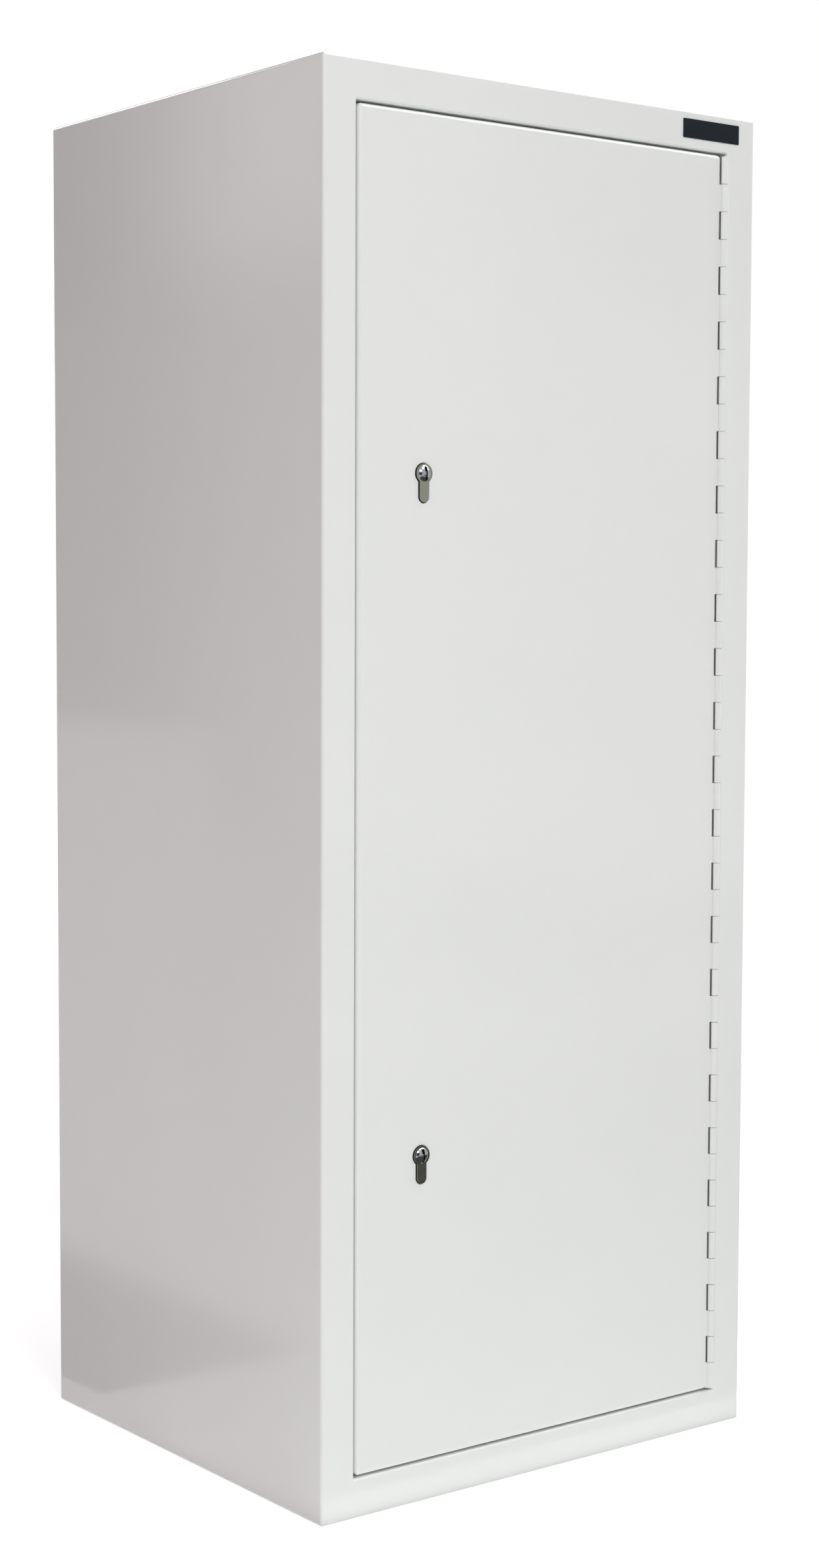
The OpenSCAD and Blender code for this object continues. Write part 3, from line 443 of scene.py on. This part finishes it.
# the frame's leaf has the same coat, with painted shade along the slot on one side
frameLeafCoat = powderCoat("whitePowderCoatOnFrameLeaf", paintSet["outside"], slotShade=True)
for place in nodes["hinge_frame_leaf"].material_slots:
    place.material = frameLeafCoat
print("finishes assigned")


def looseBoxes(node):
    # lowest and highest corner of each separate solid in a CAD node
    mesh = bmesh.new()
    mesh.from_mesh(node.data)
    bmesh.ops.remove_doubles(mesh, verts=mesh.verts, dist=1e-6)
    left = dict.fromkeys(mesh.verts)
    boxes = []
    while left:
        reach = [left.popitem()[0]]
        group = []
        while reach:
            point = reach.pop()
            group.append(point.co.copy())
            for other in [edge.other_vert(point) for edge in point.link_edges]:
                if other in left:
                    del left[other]
                    reach.append(other)
        boxes.append((Vector(map(min, zip(*group))), Vector(map(max, zip(*group)))))
    mesh.free()
    return sorted(boxes, key=lambda box: (box[0].z, box[0].x))


def lathe(mesh, profile, centre, across, along, segments):
    # turns a profile of (radius, height) points about the line from centre in the direction along
    side = along.cross(across)
    turns = [math.tau * i / segments for i in range(segments)]
    rings = []
    for radius, height in profile:
        spots = [Vector()]      # one point on the line itself
        if radius:
            spots = [(across * math.cos(t) + side * math.sin(t)) * radius for t in turns]
        rings.append([mesh.verts.new(centre + along * height + spot) for spot in spots])
    for low, high in zip(rings, rings[1:]):
        for i in range(segments):
            j = (i + 1) % segments
            corners = [low[i % len(low)], low[j % len(low)], high[j % len(high)], high[i % len(high)]]
            mesh.faces.new(dict.fromkeys(corners))


def arcPoints(centre, radius, start, end, count):
    # points of an arc in the profile's plane, angles in degrees
    angles = [math.radians(start + (end - start) * i / count) for i in range(count + 1)]
    return [(centre[0] + radius * math.cos(a), centre[1] + radius * math.sin(a)) for a in angles]


def addPiece(name, mesh, body, slot, sharpAngle):
    data = bpy.data.meshes.new(name)
    bmesh.ops.recalc_face_normals(mesh, faces=mesh.faces)
    mesh.to_mesh(data)
    mesh.free()
    data.shade_smooth()
    data.set_sharp_from_angle(angle=math.radians(sharpAngle))
    data.materials.append(slotFinish[slot])
    piece = bpy.data.objects.new(name, data)
    scene.collection.objects.link(piece)
    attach(piece, body)
    return piece


# pan-head screws with a cross recess, in place of the plain ones; lengths are over the head's radius
screwSet = {
    "shank": 0.555,
    "shankPoint": 0.8,         # the shank's end over the shank's radius
    "pointHeight": 0.3,        # over the shank's radius
    "headHeight": 0.55,
    "headUnderside": 0.96,
    "underBevel": 0.1,         # over the head's height
    "headRound": 0.38,         # rounding of the head's edge
    "headArc": 80,             # degrees that the rounding turns before the flat top
    "arcSteps": 6,
    "recessLength": 0.58,      # half of the cross
    "recessWidth": 0.13,       # half of a wing
    "recessDepth": 0.42,
    "recessFloor": 0.3,        # a wing's length at its bottom over that at its top
    "cutAbove": 0.2,           # how far the cutter stands clear of the head
    "firstTurn": 25,           # degrees; each screw stops at its own angle
    "nextTurn": 47,
    "sharpAngle": 30,          # degrees between faces that stay a crisp edge
    "segments": 36,
}


def screwProfile(radius, low, high):
    top = high - low
    head = screwSet["headHeight"] * radius
    edge = screwSet["headRound"] * radius
    shank = screwSet["shank"] * radius
    under = top - head
    rounded = arcPoints((radius - edge, top - edge), edge, 0, screwSet["headArc"], screwSet["arcSteps"])
    return [(0, 0), (shank * screwSet["shankPoint"], 0), (shank, shank * screwSet["pointHeight"]),
            (shank, under), (radius * screwSet["headUnderside"], under),
            (radius, under + head * screwSet["underBevel"])] + rounded + [(0, top)]


def crossWing(mesh, centre, radius, turn):
    # one wing of the cutter, shorter towards its bottom
    corners = []
    for depth, length in ((screwSet["cutAbove"], 1.0), (-screwSet["recessDepth"], screwSet["recessFloor"])):
        for u, v in ((-1, -1), (1, -1), (1, 1), (-1, 1)):
            spot = Vector((u * length * screwSet["recessLength"], depth, v * screwSet["recessWidth"]))
            spot.rotate(Matrix.Rotation(turn, 3, "Y"))
            corners.append(mesh.verts.new(centre + spot * radius))
    for face in ((0, 1, 2, 3), (7, 6, 5, 4), (0, 4, 5, 1), (1, 5, 6, 2), (2, 6, 7, 3), (3, 7, 4, 0)):
        mesh.faces.new([corners[i] for i in face])


def cutAway(piece, cutters):
    for cutter in cutters:
        change = piece.modifiers.new("recess", "BOOLEAN")
        change.object = cutter
        change.solver = "EXACT"
    bpy.context.view_layer.update()
    done = bpy.data.meshes.new_from_object(piece.evaluated_get(bpy.context.evaluated_depsgraph_get()))
    piece.modifiers.clear()
    piece.data = done
    for cutter in cutters:
        bpy.data.objects.remove(cutter)
    done.shade_smooth()
    done.set_sharp_from_angle(angle=math.radians(screwSet["sharpAngle"]))


def addScrews(name, node, body):
    mesh = bmesh.new()
    wings = [bmesh.new(), bmesh.new()]
    for i, (low, high) in enumerate(looseBoxes(nodes[node])):
        radius = (high.x - low.x) / 2
        middle = (low + high) / 2
        lathe(mesh, screwProfile(radius, low.y, high.y), Vector((middle.x, low.y, middle.z)),
              Vector((1, 0, 0)), Vector((0, 1, 0)), screwSet["segments"])
        turn = math.radians(screwSet["firstTurn"] + screwSet["nextTurn"] * i)
        for wing, quarter in zip(wings, (0, 90)):
            crossWing(wing, Vector((middle.x, high.y, middle.z)), radius, turn + math.radians(quarter))
    piece = addPiece(name, mesh, body, "zinc_steel", screwSet["sharpAngle"])
    cutters = []
    for wing in wings:
        bmesh.ops.recalc_face_normals(wing, faces=wing.faces)
        data = bpy.data.meshes.new("recessCutter")
        wing.to_mesh(data)
        wing.free()
        cutters.append(bpy.data.objects.new("recessCutter", data))
        scene.collection.objects.link(cutters[-1])
    cutAway(piece, cutters)
    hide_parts(node)


addScrews("lockCoverPanHeadScrews", "lock_cover_screws", "door")
addScrews("upperLockCasePanHeadScrews", "upper_case_screws", "door")
addScrews("lowerLockCasePanHeadScrews", "lower_case_screws", "door")
print("screws made")


# moulded rubber buffers with a soft crown, in place of the plain discs
bufferSet = {
    "crown": 0.12,             # mm that the middle stands higher
    "edgeRound": 1.1,          # mm
    "edgeArc": 85,             # degrees that the rounding turns before the crown
    "arcSteps": 8,
    "sharpAngle": 60,          # degrees between faces that stay a crisp edge
    "segments": 48,
}
mesh = bmesh.new()
for low, high in looseBoxes(nodes["door_buffers"]):
    radius = (high.x - low.x) / 2
    edge = bufferSet["edgeRound"] / 1000
    top = high.y - low.y
    shoulder = top - edge - bufferSet["crown"] / 1000
    rounded = arcPoints((radius - edge, shoulder), edge, 0, bufferSet["edgeArc"], bufferSet["arcSteps"])
    seat = Vector(((low.x + high.x) / 2, high.y, (low.z + high.z) / 2))
    lathe(mesh, [(0, 0), (radius, 0)] + rounded + [(0, top)], seat, Vector((1, 0, 0)), Vector((0, -1, 0)),
          bufferSet["segments"])
buffers = addPiece("mouldedDoorBuffers", mesh, "cabinet", "buffer_rubber", bufferSet["sharpAngle"])
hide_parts("door_buffers")


# shallow rings left by the spot welds that hold the rails, painted over with them
weldSet = {
    "pitch": 100.0,            # mm between welds along a rail
    "inset": 4.5,              # mm from the flange's edge
    "radius": 2.6,             # mm
    "ridge": 0.12,             # mm that the ring stands proud
    # shares of the radius and of the ridge, from the rim to the middle
    "profile": ((1.0, 0.0), (0.85, 1.0), (0.65, 0.9), (0.5, 0.3), (0.0, 0.2)),
    "sharpAngle": 80,          # degrees between faces that stay a crisp edge
    "segments": 20,
}
pitch = weldSet["pitch"] / 1000
inset = weldSet["inset"] / 1000
radius = weldSet["radius"] / 1000
ridge = weldSet["ridge"] / 1000
profile = [(wide * radius, high * ridge) for wide, high in weldSet["profile"]]
mesh = bmesh.new()
for name in ("rail_left_front", "rail_left_rear", "rail_right_front", "rail_right_rear"):
    low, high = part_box(name)
    outward = 1 if high.x < 0 else -1          # from the wall into the cabinet
    wallX = low.x if outward > 0 else high.x
    levels = {round(v.co.x, 5) for v in nodes[name].data.vertices}
    flangeX = sorted(levels, key=lambda x: abs(x - wallX))[1]   # the flange's face, one sheet off the wall
    count = int((high.z - low.z) / pitch)
    first = (low.z + high.z) / 2 - (count - 1) * pitch / 2
    for y in (low.y + inset, high.y - inset):
        for i in range(count):
            lathe(mesh, profile, Vector((flangeX, y, first + i * pitch)), Vector((0, 1, 0)),
                  Vector((outward, 0, 0)), weldSet["segments"])
addPiece("railSpotWelds", mesh, "cabinet", "rail_paint", weldSet["sharpAngle"])
print("buffers and weld marks made")
